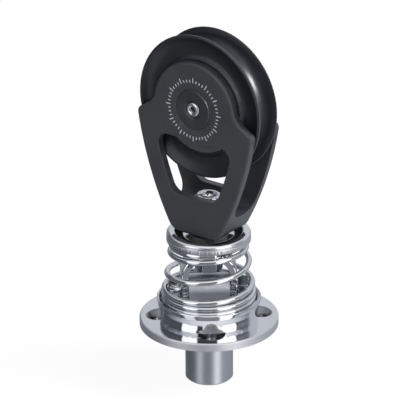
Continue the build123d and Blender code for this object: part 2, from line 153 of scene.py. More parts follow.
class ShaderGroup(Wiring):
    """A shader node group on the object's own coordinates, with named numbers as inputs and outputs."""

    def __init__(self, name: str, inputs: dict[str, float], outputs: Sequence[str]) -> None:
        """Makes the empty group with its sockets.

        Args:
            name: The group's name.
            inputs: Each input with its default.
            outputs: Each output.
        """
        super().__init__(bpy.data.node_groups.new(name, "ShaderNodeTree"))
        number = "NodeSocketFloat"
        for label, default in inputs.items():
            self.tree.interface.new_socket(label, in_out="INPUT", socket_type=number).default_value = default
        for label in outputs:
            self.tree.interface.new_socket(label, in_out="OUTPUT", socket_type=number)
        self.given = self.node("NodeGroupInput").outputs
        self.results = self.node("NodeGroupOutput").inputs
        self.place = self.node("ShaderNodeTexCoord").outputs["Object"]

    def noise(self, vector: object, scale: object, detail: float = 2.0) -> bpy.types.NodeSocket:
        """Adds a noise texture, and gives its value."""
        inputs = {"Vector": vector, "Scale": scale, "Detail": detail}
        return self.node("ShaderNodeTexNoise", inputs).outputs["Fac"]

    def done(self, **results: bpy.types.NodeSocket) -> bpy.types.NodeTree:
        """Joins the results to the outputs, and gives the finished group."""
        for label, value in results.items():
            self.feed(self.results[label], value)
        return self.tree


def handling_marks() -> bpy.types.NodeTree:
    """Builds the group for faint handling marks: smudges that vary gloss, and hairline scratches.

    Returns:
        A group with Base, Smudge and Scratch inputs, and Roughness and Height outputs.
    """
    group = ShaderGroup(
        "handling_marks", {"Base": 0.1, "Smudge": 0.03, "Scratch": 0.02}, ("Roughness", "Height")
    )
    smudge = group.noise(group.place, 140.0, 3.0)
    stretch = {"Scale": (1.0, 9.0, 5.0), "Rotation": (0.4, 0.7, 0.2), "Vector": group.place}
    hair = group.noise(group.node("ShaderNodeMapping", stretch).outputs["Vector"], 900.0)
    smudged = group.math("MULTIPLY", smudge, group.given["Smudge"])
    scratched = group.math("MULTIPLY", hair, group.given["Scratch"])
    rough = group.math("ADD", group.given["Base"], group.math("ADD", smudged, scratched))
    return group.done(Roughness=rough, Height=hair)


def turning_lines() -> bpy.types.NodeTree:
    """Builds the group for fine rings left by a lathe tool, across both the radius and the height about Z.

    Returns:
        A group with Lines (per metre) and Wander inputs, and Height and Mask outputs.
    """
    group = ShaderGroup("turning_lines", {"Lines": 9000.0, "Wander": 0.4}, ("Height", "Mask"))
    apart = group.split(group.place)
    reach = group.math("ADD", group.length(apart["X"], apart["Y"]), apart["Z"])
    run = {"W": group.math("MULTIPLY", reach, group.given["Lines"]), "Scale": 1.0, "Detail": 2.0}
    line = group.node("ShaderNodeTexNoise", run, noise_dimensions="1D").outputs["Fac"]
    wander = group.math("MULTIPLY", group.noise(group.place, 160.0), group.given["Wander"])
    return group.done(Height=group.math("ADD", line, wander), Mask=line)


def fine_grain() -> bpy.types.NodeTree:
    """Builds the group for the fine grain of an etched or moulded surface.

    Returns:
        A group with a Scale input, and Height and Mottle outputs.
    """
    group = ShaderGroup("fine_grain", {"Scale": 4000.0}, ("Height", "Mottle"))
    grain = group.noise(group.place, group.given["Scale"], 1.0)
    return group.done(Height=grain, Mottle=group.noise(group.place, 70.0, 4.0))


def radius_masks() -> bpy.types.NodeTree:
    """Builds the group for masks that begin at a radius, about the swivel's line and about the axle's.

    Each mask is the distance past the radius over a short fade, held between 0 and 1.

    Returns:
        A group with Radius, Height and Fade inputs, and Swivel and Axle outputs.
    """
    group = ShaderGroup("radius_masks", {"Radius": 0.01, "Height": 0.0, "Fade": 0.2 * MM}, ("Swivel", "Axle"))
    apart = group.split(group.place)
    raised = group.math("SUBTRACT", apart["Z"], group.given["Height"])
    masks = {}
    for label, other in (("Swivel", apart["Y"]), ("Axle", raised)):
        past = group.math("SUBTRACT", group.length(apart["X"], other), group.given["Radius"])
        share = group.math("DIVIDE", past, group.given["Fade"])
        masks[label] = group.math("MINIMUM", group.math("MAXIMUM", share, 0.0), 1.0)
    return group.done(**masks)


def knurl() -> bpy.types.NodeTree:
    """Builds the group for straight knurling about the swivel's line: a sine between two heights.

    Returns:
        A group with Count, Low and High inputs, and a Height output.
    """
    group = ShaderGroup("knurl", {"Count": 100.0, "Low": 0.0, "High": 0.1}, ("Height",))
    apart = group.split(group.place)
    angle = group.math("ARCTAN2", apart["Y"], apart["X"])
    wave = group.math("SINE", group.math("MULTIPLY", angle, group.given["Count"]))
    above = group.math("GREATER_THAN", apart["Z"], group.given["Low"])
    below = group.math("LESS_THAN", apart["Z"], group.given["High"])
    return group.done(Height=group.math("MULTIPLY", wave, group.math("MULTIPLY", above, below)))


def screw_hole_mask() -> bpy.types.NodeTree:
    """Builds the group for the deck plate's countersinks.

    The plate is turned until its four holes lie on the diagonals, both coordinates lose their sign, and the
    mask is 1 within a radius of the one hole that is left.

    Returns:
        A group with Turn, Circle and Radius inputs, and a Mask output.
    """
    group = ShaderGroup("screw_hole_mask", {"Turn": 0.0, "Circle": 0.02, "Radius": 0.005}, ("Mask",))
    turned = {"Vector": group.place, "Angle": group.given["Turn"]}
    spin = group.node("ShaderNodeVectorRotate", turned, rotation_type="Z_AXIS")
    apart = group.split(spin.outputs["Vector"])
    centre = group.math("MULTIPLY", group.given["Circle"], math.sqrt(0.5))
    off = [group.math("SUBTRACT", group.math("ABSOLUTE", apart[label]), centre) for label in "XY"]
    return group.done(Mask=group.math("LESS_THAN", group.length(*off), group.given["Radius"]))


class Workshop:
    """The shared shader groups, each built once."""

    def __init__(self) -> None:
        """Builds the groups."""
        self.marks = handling_marks()
        self.lines = turning_lines()
        self.grain = fine_grain()
        self.masks = radius_masks()
        self.holes = screw_hole_mask()
        self.knurl = knurl()


class Paint(Wiring):
    """A material under construction, with its Principled shader."""

    RAMP_STOPS = (0.3, 0.7)

    def __init__(self, name: str) -> None:
        """Makes the new material."""
        self.material = bpy.data.materials.new(name)
        self.material.use_nodes = True
        super().__init__(self.material.node_tree)
        self.shader = self.tree.nodes["Principled BSDF"]

    def set(self, label: str, value: object) -> None:
        """Feeds one of the shader's inputs."""
        self.feed(self.shader.inputs[label], value)

    def group(self, tree: bpy.types.NodeTree, **values: float) -> bpy.types.bpy_prop_collection:
        """Places a shared group with some inputs set by name, and gives its outputs."""
        return self.node("ShaderNodeGroup", values, node_tree=tree).outputs

    def scaled(self, colour: bpy.types.NodeSocket, share: bpy.types.NodeSocket) -> bpy.types.NodeSocket:
        """Darkens a colour by a share, and gives the result."""
        return self.node("ShaderNodeVectorMath", {0: colour, "Scale": share}, operation="SCALE").outputs[0]

    def bump(self, height: bpy.types.NodeSocket, strength: float, depth: float) -> None:
        """Feeds a height into the shader's normal.

        Args:
            height: The height socket.
            strength: The bump's strength.
            depth: The bump's depth in metres.
        """
        made = self.node("ShaderNodeBump", {"Height": height, "Strength": strength, "Distance": depth})
        self.set("Normal", made.outputs["Normal"])

    def ramp(
        self, value: bpy.types.NodeSocket, colour: Sequence[float], low: float, high: float
    ) -> bpy.types.NodeSocket:
        """Turns a value into a colour between two shades of one.

        Args:
            value: The value socket.
            colour: The plain colour.
            low: Its share where the value is low.
            high: Its share where the value is high.

        Returns:
            The colour socket.
        """
        made = self.node("ShaderNodeValToRGB", {"Fac": value})
        for stop, place, share in zip(made.color_ramp.elements, self.RAMP_STOPS, (low, high)):
            stop.position = place
            stop.color = (*(channel * share for channel in colour), 1.0)
        return made.outputs["Color"]


@dataclass(frozen=True)
class PaintedSocketShade:
    """A driving socket in a screw's head, with painted shade: its colour darkened inside.

    Attributes:
        line: The axis that it lies on.
        radius: The radius of its painted shade.
        height: The height of that axis, where it is the axle's.
    """

    line: str
    radius: float
    height: float = 0.0


@dataclass(frozen=True)
class Countersinks:
    """The deck plate's four countersinks, cut after it was polished and duller than it, with painted shade
    that darkens their colour.

    Attributes:
        turn: The first one's angle, in degrees.
        circle: The radius of the circle that they lie on.
        radius: Their own radius at the top.
        roughness: How much rougher they are.
        share: How much of their colour the painted shade keeps.
    """

    turn: float
    circle: float
    radius: float
    roughness: float
    share: float


@dataclass(frozen=True)
class Steel:
    """Stainless steel, polished, turned or rolled.

    Attributes:
        name: The material's name.
        colour: Its reflected colour.
        roughness: Its least roughness.
        grain: How it was worked.
        depth: How deep its lines are, in metres.
        rim: The radius past which it is only fine turned, if any.
        rim_roughness: How much rougher it is there, or smoother where it is negative.
        socket: Its driving socket, if any, with painted shade darkening its colour inside.
        sinks: Its countersinks, if any, rougher and with painted shade.
        shade_ring: A ring of painted shade on it, if any, as its inner and outer radius: black and
            unmirroring.
        knurled: The lowest and highest point of its knurling, if it has any.
    """

    name: str
    colour: tuple[float, float, float]
    roughness: float
    grain: Grain
    depth: float = 0.0
    rim: float | None = None
    rim_roughness: float = 0.0
    socket: PaintedSocketShade | None = None
    sinks: Countersinks | None = None
    shade_ring: tuple[float, float] | None = None
    knurled: tuple[float, float] | None = None

    TURNED_SHADES: ClassVar[tuple[float, float]] = (0.94, 1.04)
    PLAIN_SHADES: ClassVar[tuple[float, float]] = (0.985, 1.015)
    SPREAD_SHARE: ClassVar[float] = 0.35
    SPREAD_LEAST: ClassVar[float] = 0.01
    SOCKET_SHADE_FADE: ClassVar[float] = 0.3 * MM
    SOCKET_SHADE_LEVEL: ClassVar[float] = 0.12
    SHADE_RING_FADES: ClassVar[tuple[float, float]] = (0.6 * MM, 0.3 * MM)
    SHADE_RING_SHARE: ClassVar[float] = 0.98
    RIDGES: ClassVar[float] = 88.0
    TURNED_BUMP: ClassVar[float] = 0.35
    ROLLED_BUMP: ClassVar[float] = 0.2
    RIDGE_BUMP: ClassVar[float] = 0.5

    def build(self, shop: Workshop) -> bpy.types.Material:
        """Builds the material.

        Args:
            shop: The shared shader groups.

        Returns:
            The finished material.
        """
        paint = Paint(self.name)
        paint.set("Metallic", 1.0)
        spread = self.SPREAD_SHARE * self.roughness + self.SPREAD_LEAST
        marks = paint.group(shop.marks, Base=self.roughness, Smudge=spread, Scratch=spread)
        rough = marks["Roughness"]
        if self.rim is not None:
            turned = paint.group(shop.masks, Radius=self.rim)["Swivel"]
            rough = paint.math("ADD", rough, paint.math("MULTIPLY", turned, self.rim_roughness))
        if self.sinks is not None:
            turn = math.radians(45.0 - self.sinks.turn)
            cut = {"Turn": turn, "Circle": self.sinks.circle, "Radius": self.sinks.radius}
            sunk = paint.group(shop.holes, **cut)["Mask"]
            rough = paint.math("ADD", rough, paint.math("MULTIPLY", sunk, self.sinks.roughness))
        paint.set("Roughness", rough)
        if self.grain is Grain.TURNED:
            lines = paint.group(shop.lines)
            paint.set("Base Color", paint.ramp(lines["Mask"], self.colour, *self.TURNED_SHADES))
            paint.bump(lines["Height"], self.TURNED_BUMP, self.depth)
            return paint.material
        colour = paint.ramp(paint.group(shop.grain)["Mottle"], self.colour, *self.PLAIN_SHADES)
        # Painted shade: the colour is darkened inside the driving socket.
        if self.socket is not None:
            socket_shade_inputs = {"Radius": self.socket.radius, "Height": self.socket.height, "Fade": self.SOCKET_SHADE_FADE}
            beside = paint.group(shop.masks, **socket_shade_inputs)[self.socket.line]
            colour = paint.scaled(colour, paint.math("MAXIMUM", beside, self.SOCKET_SHADE_LEVEL))
        # Painted shade: the colour is darkened in the countersinks.
        if self.sinks is not None:
            sink_shade = paint.math("MULTIPLY", sunk, 1.0 - self.sinks.share)
            colour = paint.scaled(colour, paint.math("SUBTRACT", 1.0, sink_shade))
        # Painted shade: a ring made black and unmirroring, painted in the collar's dish.
        if self.shade_ring is not None:
            within, beyond = (
                paint.group(shop.masks, Radius=radius, Fade=fade)["Swivel"]
                for radius, fade in zip(self.shade_ring, self.SHADE_RING_FADES)
            )
            ring = paint.math("MULTIPLY", paint.math("SUBTRACT", within, beyond), self.SHADE_RING_SHARE)
            kept = paint.math("SUBTRACT", 1.0, ring)
            colour = paint.scaled(colour, kept)
            paint.set("Metallic", kept)
            paint.set("IOR", 1.0)
        paint.set("Base Color", colour)
        if self.grain is Grain.ROLLED:
            paint.bump(marks["Height"], self.ROLLED_BUMP, self.depth)
        if self.knurled is not None:
            low, high = self.knurled
            ridges = paint.group(shop.knurl, Count=self.RIDGES, Low=low, High=high)
            paint.bump(ridges["Height"], self.RIDGE_BUMP, self.depth)
        return paint.material


@dataclass(frozen=True)
class RimHighlight:
    """A painted highlight on a wheel's rims: their colour made lighter past a radius, for the light line
    along the edge.

    Attributes:
        height: The height of its axle.
        radius: The radius past which it is painted lighter.
        colour: The painted highlight's colour.
    """

    height: float
    radius: float
    colour: tuple[float, float, float] = (0.055, 0.058, 0.065)


@dataclass(frozen=True)
class Anodised:
    """Hard-anodised aluminium, dyed black.

    Attributes:
        name: The material's name.
        colour: The dye's colour.
        roughness: Its least roughness.
        gloss: The specular level.
        grain_depth: The depth of the etched grain, in metres.
        coat: The weight of a sealed gloss over it.
        coat_roughness: That gloss's roughness.
        rim_highlight: The painted highlight on its rims, if it has one.
    """

    name: str
    colour: tuple[float, float, float]
    roughness: float
    gloss: float
    grain_depth: float
    coat: float = 0.0
    coat_roughness: float = 0.2
    rim_highlight: RimHighlight | None = None

    def build(self, shop: Workshop) -> bpy.types.Material:
        """Builds the material.

        Args:
            shop: The shared shader groups.

        Returns:
            The finished material.
        """
        paint = Paint(self.name)
        paint.set("Specular IOR Level", self.gloss)
        paint.set("Coat Weight", self.coat)
        paint.set("Coat Roughness", self.coat_roughness)
        grain = paint.group(shop.grain)
        colour = paint.ramp(grain["Mottle"], self.colour, 0.9, 1.1)
        # Painted highlight: the rims are made lighter past a radius.
        if self.rim_highlight is not None:
            rim_lit = paint.group(shop.masks, Radius=self.rim_highlight.radius, Height=self.rim_highlight.height)
            colour = paint.mixed(rim_lit["Axle"], colour, (*self.rim_highlight.colour, 1.0))
        paint.set("Base Color", colour)
        marks = paint.group(shop.marks, Base=self.roughness, Smudge=0.06, Scratch=0.04)
        paint.set("Roughness", marks["Roughness"])
        paint.bump(grain["Height"], 0.25, self.grain_depth)
        return paint.material


@dataclass(frozen=True)
class Plastic:
    """Moulded or turned plastic, or printing ink.

    Attributes:
        name: The material's name.
        colour: Its colour.
        roughness: Its least roughness.
    """

    name: str
    colour: tuple[float, float, float]
    roughness: float

    def build(self, shop: Workshop) -> bpy.types.Material:
        """Builds the material.

        Args:
            shop: The shared shader groups.

        Returns:
            The finished material.
        """
        paint = Paint(self.name)
        grain = paint.group(shop.grain, Scale=2500.0)
        paint.set("Base Color", paint.ramp(grain["Mottle"], self.colour, 0.92, 1.08))
        marks = paint.group(shop.marks, Base=self.roughness, Smudge=0.08, Scratch=0.02)
        paint.set("Roughness", marks["Roughness"])
        paint.bump(grain["Height"], 0.2, 0.02 * MM)
        return paint.material


class Finishes:
    """Every finish of the block, built once and looked up by its name."""

    BRIGHT = (0.78, 0.79, 0.82)
    SCUFF = 0.0012 * MM
    # The plate's countersinks carry painted shade: their colour is darkened.
    PLATE = Steel(
        "plate_steel", BRIGHT, 0.035, Grain.POLISHED, rim=28.5 * MM, rim_roughness=0.45,
        sinks=Countersinks(BASE_TURN, 20.75 * MM, 5.72 * MM, 0.2, 0.42),
    )
    # The collar's dish carries painted shade: a black, unmirroring ring.
    COLLAR = Steel(
        "collar_steel", BRIGHT, 0.035, Grain.POLISHED, 0.06 * MM, rim=17.3 * MM, rim_roughness=0.36,
        shade_ring=(10.3 * MM, 14.0 * MM), knurled=(38.2 * MM, 39.7 * MM),
    )
    CUP = Steel("cup_steel", BRIGHT, 0.12, Grain.POLISHED, rim=20.1 * MM, rim_roughness=-0.13)
    POST = Steel("post_steel", (0.87, 0.90, 0.96), 0.36, Grain.POLISHED)
    STRAP = Steel("strap_steel", BRIGHT, 0.035, Grain.POLISHED)
    SPRING = Steel("spring_steel", (0.76, 0.77, 0.80), 0.05, Grain.POLISHED)
    TURNED = Steel("turned_steel", (0.61, 0.63, 0.67), 0.27, Grain.TURNED, 0.01 * MM)
    FASTENER = Steel("fastener_steel", (0.46, 0.47, 0.50), 0.12, Grain.ROLLED, SCUFF)
    # The cap screw's socket carries painted shade: its colour is darkened inside.
    CAP_SCREW = Steel(
        "cap_screw_steel", (0.74, 0.75, 0.78), 0.16, Grain.ROLLED, SCUFF,
        socket=PaintedSocketShade("Axle", 1.15 * MM, AXLE_HEIGHT),
    )
    # The swivel bolt's socket carries painted shade: its colour is darkened inside.
    SWIVEL_BOLT = Steel(
        "swivel_bolt_steel", (0.72, 0.73, 0.76), 0.14, Grain.ROLLED, SCUFF,
        socket=PaintedSocketShade("Swivel", 2.35 * MM),
    )
    BALL = Steel("ball_steel", (0.82, 0.83, 0.85), 0.04, Grain.POLISHED)
    FRAME = Anodised("frame_black", (0.033, 0.036, 0.042), 0.38, 0.5, 0.012 * MM)
    CAP = Anodised("cap_black", (0.015, 0.016, 0.019), 0.30, 0.5, 0.01 * MM)
    # The sheave's rims carry a painted highlight: their colour is lighter past a radius.
    SHEAVE = Anodised(
        "sheave_black", (0.008, 0.009, 0.012), 0.34, 0.25, 0.006 * MM, coat=0.4, coat_roughness=0.29,
        rim_highlight=RimHighlight(AXLE_HEIGHT, 30.25 * MM),
    )
    CONE = Plastic("cone_black", (0.020, 0.021, 0.024), 0.35)
    CAGE = Plastic("cage_grey", (0.050, 0.052, 0.056), 0.5)
    BUSH = Plastic("bush_grey", (0.080, 0.082, 0.088), 0.5)
    INK = Plastic("ring_ink", (0.42, 0.44, 0.47), 0.6)

    def __init__(self) -> None:
        """Builds the shared groups; each material is built when it is first asked for."""
        self.shop = Workshop()
        self.made: dict[str, bpy.types.Material] = {}

    def get(self, finish: Steel | Anodised | Plastic) -> bpy.types.Material:
        """Gives a finish's material.

        Args:
            finish: One of the finishes above.

        Returns:
            Its material.
        """
        if finish.name not in self.made:
            self.made[finish.name] = finish.build(self.shop)
        return self.made[finish.name]


def mesh_piece(
    name: str, points: np.ndarray, faces: np.ndarray, material: bpy.types.Material,
    ends: Sequence[Sequence[int]] = (),
) -> bpy.types.Object:
    """Makes a mesh object from arrays of points and of faces with four corners.

    Args:
        name: The piece's name.
        points: The points, one row each, in metres.
        faces: The faces' corners, one row each.
        material: The piece's material.
        ends: The corners of any faces that close its ends.

    Returns:
        The new object, at the origin.
    """
    mesh = bpy.data.meshes.new(name)
    mesh.from_pydata(points.tolist(), [], faces.tolist() + list(ends))
    mesh.update()
    mesh.polygons.foreach_set("use_smooth", np.ones(len(mesh.polygons), bool))
    mesh.materials.append(material)
    piece = bpy.data.objects.new(name, mesh)
    bpy.context.scene.collection.objects.link(piece)
    return piece


def grid_faces(rows: int, columns: int) -> np.ndarray:
    """Corners of the faces of a tube of points stored ring by ring.

    Args:
        rows: The number of rings.
        columns: The number of points in a ring, of which the last joins the first.

    Returns:
        One face in each row.
    """
    i, j = np.meshgrid(np.arange(rows - 1), np.arange(columns), indexing="ij")
    next_j = (j + 1) % columns
    corners = (i * columns + j, (i + 1) * columns + j, (i + 1) * columns + next_j, i * columns + next_j)
    return np.stack([corner.ravel() for corner in corners], axis=1)


class CarriedNode:
    """A CAD node dressed as it is, by a merged copy of its mesh with smooth faces and crisp edges."""

    CRISP = math.radians(28.0)
    FLAT = math.radians(1.0)
    ROUNDED = math.radians(50.0)
    SEGMENTS = 6
    MERGE = 0.001 * MM

    def __init__(self, node: str, body: Body, slot: str, bevel: float = 0.0) -> None:
        """Notes what is dressed.

        Args:
            node: The CAD node.
            body: The body that it moves with.
            slot: The record's material slot; it is not used.
            bevel: How far its outer edges are rounded over, in metres.
        """
        self.node, self.body, self.slot, self.bevel = node, body, slot, bevel

    def dress(self, material: bpy.types.Material) -> bpy.types.Object:
        """Makes the copy and hides the node.

        Args:
            material: The copy's material.

        Returns:
            The new piece.
        """
        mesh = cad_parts[self.node].data.copy()
        mesh.name = f"{self.node}_surface"
        mesh.materials.clear()
        mesh.materials.append(material)
        piece = bpy.data.objects.new(f"{self.node}_surface", mesh)
        bpy.context.scene.collection.objects.link(piece)
        weld = piece.modifiers.new("weld", "WELD")
        weld.merge_threshold = self.MERGE
        if self.bevel:
            flat = piece.modifiers.new("flat", "DECIMATE")
            flat.decimate_type = "DISSOLVE"
            flat.angle_limit = self.FLAT
            edge = piece.modifiers.new("edge", "BEVEL")
            edge.width = self.bevel
            edge.segments = self.SEGMENTS
            edge.limit_method = "ANGLE"
            edge.angle_limit = self.ROUNDED
        bpy.context.view_layer.update()
        merged = bpy.data.meshes.new_from_object(piece.evaluated_get(bpy.context.evaluated_depsgraph_get()))
        piece.modifiers.clear()
        piece.data = merged
        merged.polygons.foreach_set("use_smooth", np.ones(len(merged.polygons), bool))
        merged.polygons.foreach_set("material_index", np.zeros(len(merged.polygons), np.int32))
        merged.set_sharp_from_angle(angle=self.CRISP)
        weigh = piece.modifiers.new("weigh", "WEIGHTED_NORMAL")
        weigh.keep_sharp = True
        weigh.mode = "FACE_AREA"
        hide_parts(self.node)
        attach(piece, self.body.value)
        log.info("%s stands for %s on %s", piece.name, self.node, self.body.value)
        return piece


@dataclass
class Spring:
    """The conical wire spring, from its seat in the cup to the collar's skirt.

    Attributes:
        wire: The wire's diameter.
        low_radius: The coil's centre-line radius in the cup.
        top_radius: Its radius under the collar.
        low: The wire's centre height at the seat.
        high: The wire's centre height under the collar.
        turns_low: Closed turns in the cup.
        turns_active: Open turns.
        turns_top: Closed turns under the collar.
        start: The angle where the wire begins, in degrees.
        gap: The clearance between closed turns.
        ease: The share of the pitch that eases in and out.
        steps_per_turn: Rings of points in a turn.
        steps_round: Points in a ring.
        steps_end: Rings in each rounded end.
        end_reach: How far each end is rounded over, as a share of the wire's radius.
        end_least: The end ring's radius, as a share of the wire's.
    """

    wire: float = 2.4 * MM
    low_radius: float = 18.5 * MM
    top_radius: float = 15.5 * MM
    low: float = 9.37 * MM
    high: float = 36.68 * MM
    turns_low: float = 2.85
    turns_active: float = 2.2
    turns_top: float = 0.95
    start: float = -42.0
    gap: float = 0.02 * MM
    ease: float = 0.35
    steps_per_turn: int = 128
    steps_round: int = 28
    steps_end: int = 7
    end_reach: float = 0.35
    end_least: float = 0.02

    def centre_line(self) -> np.ndarray:
        """Points of the wire's centre line.

        The angle runs evenly with the turns; the height climbs one wire a turn where the coils are closed
        and by an eased pitch between, and the radius falls evenly over the open turns.

        Returns:
            The points, one row each.
        """
        total = self.turns_low + self.turns_active + self.turns_top
        turn = np.linspace(0.0, total, round(total * self.steps_per_turn) + 1)
        middle = np.clip(turn - self.turns_low, 0.0, self.turns_active)
        closed = self.wire + self.gap
        pitch = (self.high - self.low - closed * (total - self.turns_active)) / self.turns_active
        wave = np.sin(2 * np.pi * middle / self.turns_active) * self.turns_active / (2 * np.pi)
        up = np.minimum(turn, self.turns_low) * closed
        up += pitch * (middle * (1 - self.ease) + (middle - wave) * self.ease)
        up += np.clip(turn - self.turns_low - self.turns_active, 0.0, None) * closed
        radius = self.low_radius + (self.top_radius - self.low_radius) * middle / self.turns_active
        angle = math.radians(self.start) + 2 * np.pi * turn
        return np.stack([radius * np.cos(angle), radius * np.sin(angle), self.low + up], axis=1)

    def surface(self) -> tuple[np.ndarray, np.ndarray]:
        """Points and faces of the wire.

        Each centre-line point carries a circle in the plane of its outward and upward normals, and both ends
        are rounded over.

        Returns:
            The points and the faces.
        """
        line = self.centre_line()
        along = np.gradient(line, axis=0)
        along /= np.linalg.norm(along, axis=1, keepdims=True)
        outward = line * np.array([1.0, 1.0, 0.0])
        outward -= along * np.sum(outward * along, axis=1, keepdims=True)
        outward /= np.linalg.norm(outward, axis=1, keepdims=True)
        upward = np.cross(along, outward)
        dome = np.linspace(0.0, np.pi / 2, self.steps_end)
        caps_radius, caps_reach = np.cos(dome), np.sin(dome) * self.end_reach
        reach = self.wire / 2
        start = line[0] - along[0] * (caps_reach[::-1, None] * reach)
        end = line[-1] + along[-1] * (caps_reach[:, None] * reach)
        centres = np.concatenate([start, line[1:-1], end])
        size = np.concatenate([caps_radius[::-1], np.ones(len(line) - 2), caps_radius])
        size = np.maximum(size, self.end_least)
        outs, ups = (
            np.pad(normals, ((self.steps_end - 1, self.steps_end - 1), (0, 0)), mode="edge")
            for normals in (outward, upward)
        )
        around = np.linspace(0.0, 2 * np.pi, self.steps_round, endpoint=False)
        ring = outs[:, None] * np.cos(around)[None, :, None] + ups[:, None] * np.sin(around)[None, :, None]
        points = centres[:, None] + ring * (size * reach)[:, None, None]
        return points.reshape(-1, 3), grid_faces(len(centres), self.steps_round)[:, ::-1]

    def dress(self, material: bpy.types.Material) -> bpy.types.Object:
        """Builds the wire in place of the CAD spring, from the base to the toggle.

        Args:
            material: The wire's material.

        Returns:
            The new piece.
        """
        points, faces = self.surface()
        ring = list(range(self.steps_round))
        ends = [ring[::-1], [len(points) - self.steps_round + corner for corner in ring]]
        piece = mesh_piece("spring_wire", points, faces, material, ends)
        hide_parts("spring")
        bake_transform(piece)
        log.info("%s has %d faces", piece.name, len(faces))
        return piece


@dataclass
class TickRing:
    """A printed ring of plain tick marks round the axle, on the front cheek.

    Attributes:
        centre_height: The axle's height.
        face: The cheek face's distance from the middle.
        inner: The ring's inner radius.
        short: A short tick's length.
        long: A long tick's length.
        width: A tick's width.
        lift: The ink's thickness.
        count: The number of ticks.
        long_every: Every how many ticks one is long.
    """

    centre_height: float = AXLE_HEIGHT
    face: float = 10.1 * MM
    inner: float = 11.6 * MM
    short: float = 1.2 * MM
    long: float = 2.2 * MM
    width: float = 0.42 * MM
    lift: float = 0.03 * MM
    count: int = 48
    long_every: int = 4

    def surface(self) -> tuple[np.ndarray, np.ndarray]:
        """Points and faces of the ticks: each is a thin box, turned about the axle by an even step.

        Returns:
            The points and the faces.
        """
        number = np.arange(self.count)
        angle = 2 * np.pi * number / self.count
        length = np.where(number % self.long_every == 0, self.long, self.short)
        across = np.array([-1, 1, 1, -1, -1, 1, 1, -1]) * self.width / 2
        along = np.array([0, 0, 1, 1, 0, 0, 1, 1])
        depth = -self.face - np.array([0, 0, 0, 0, 1, 1, 1, 1]) * self.lift
        radial = self.inner + along[None, :] * length[:, None]
        x = radial * np.sin(angle)[:, None] + across[None, :] * np.cos(angle)[:, None]
        z = radial * np.cos(angle)[:, None] - across[None, :] * np.sin(angle)[:, None] + self.centre_height
        y = np.broadcast_to(depth, x.shape)
        points = np.stack([x, y, z], axis=2).reshape(-1, 3)
        box = np.array([[0, 3, 2, 1], [4, 5, 6, 7], [0, 1, 5, 4], [1, 2, 6, 5], [2, 3, 7, 6], [3, 0, 4, 7]])
        faces = (box[None] + 8 * number[:, None, None]).reshape(-1, 4)
        return points, faces

    def dress(self, material: bpy.types.Material) -> bpy.types.Object:
        """Prints the ring on the front cheek.

        Args:
            material: The ink.

        Returns:
            The new piece.
        """
        points, faces = self.surface()
        piece = mesh_piece("tick_ring", points, faces, material)
        piece.data.polygons.foreach_set("use_smooth", np.zeros(len(faces), bool))
        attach(piece, Body.BLOCK.value)
        log.info("%s has %d ticks", piece.name, self.count)
        return piece


class Assembly:
    """Pieces of the block that are dressed together."""

    def __init__(self, finishes: Finishes) -> None:
        """Keeps the finishes."""
        self.get = finishes.get

    def carried(
        self, body: Body, slot: str, finish: Steel | Anodised | Plastic, *nodes: str, bevel: float = 0.0
    ) -> list[bpy.types.Object]:
        """Dresses CAD nodes that are alike.

        Args:
            body: The body that they move with.
            slot: Their slot in the record.
            finish: Their finish.
            nodes: The nodes.
            bevel: How far their outer edges are rounded over.

        Returns:
            The pieces.
        """
        return [CarriedNode(node, body, slot, bevel).dress(self.get(finish)) for node in nodes]


class Base(Assembly):
    """The deck plate with its shank, post, cup and spring."""

    def build(self) -> list[bpy.types.Object]:
        """Dresses the base, and gives its pieces."""
        return [
            *self.carried(Body.BASE, "polished_steel", Finishes.PLATE, "deck_plate"),
            *self.carried(Body.BASE, "turned_steel", Finishes.TURNED, "shank"),
            *self.carried(Body.BASE, "polished_steel", Finishes.POST, "post"),
            *self.carried(Body.BASE, "bearing_plastic", Finishes.BUSH, "lug_bush"),
            *self.carried(Body.BASE, "polished_steel", Finishes.CUP, "spring_cup"),
            Spring().dress(self.get(Finishes.SPRING)),
        ]


class Toggle(Assembly):
    """The toggle with its screws, collar and washers."""

    FASTENERS = ("pivot_screw", "pivot_nut", "head_washer", "swivel_nut")
    EDGE = 1.8 * MM

    def build(self) -> list[bpy.types.Object]:
        """Dresses the toggle, and gives its pieces."""
        return [
            *self.carried(Body.TOGGLE, "polished_steel", Finishes.STRAP, "toggle", bevel=self.EDGE),
            *self.carried(Body.TOGGLE, "polished_steel", Finishes.COLLAR, "spring_collar"),
            *self.carried(Body.TOGGLE, "fastener_steel", Finishes.SWIVEL_BOLT, "swivel_bolt"),
            *self.carried(Body.TOGGLE, "fastener_steel", Finishes.FASTENER, *self.FASTENERS),
            *self.carried(Body.TOGGLE, "bearing_plastic", Finishes.BUSH, "thrust_washer"),
        ]


class Block(Assembly):
    """The frame with its axle, caps, screws and races."""

    def build(self) -> list[bpy.types.Object]:
        """Dresses the block, and gives its pieces."""
        pieces = [
            *self.carried(Body.BLOCK, "black_anodised", Finishes.FRAME, "frame"),
            *self.carried(Body.BLOCK, "turned_steel", Finishes.TURNED, "axle"),
            *self.carried(Body.BLOCK, "bearing_plastic", Finishes.BUSH, "swivel_bush"),
            TickRing().dress(self.get(Finishes.INK)),
        ]
        for end in ENDS:
            pieces += self.carried(Body.BLOCK, "cap_anodised", Finishes.CAP, f"axle_cap_{end}")
            pieces += self.carried(Body.BLOCK, "fastener_steel", Finishes.CAP_SCREW, f"cap_screw_{end}")
            pieces += self.carried(Body.BLOCK, "cone_black", Finishes.CONE, f"bearing_cone_{end}")
        return pieces


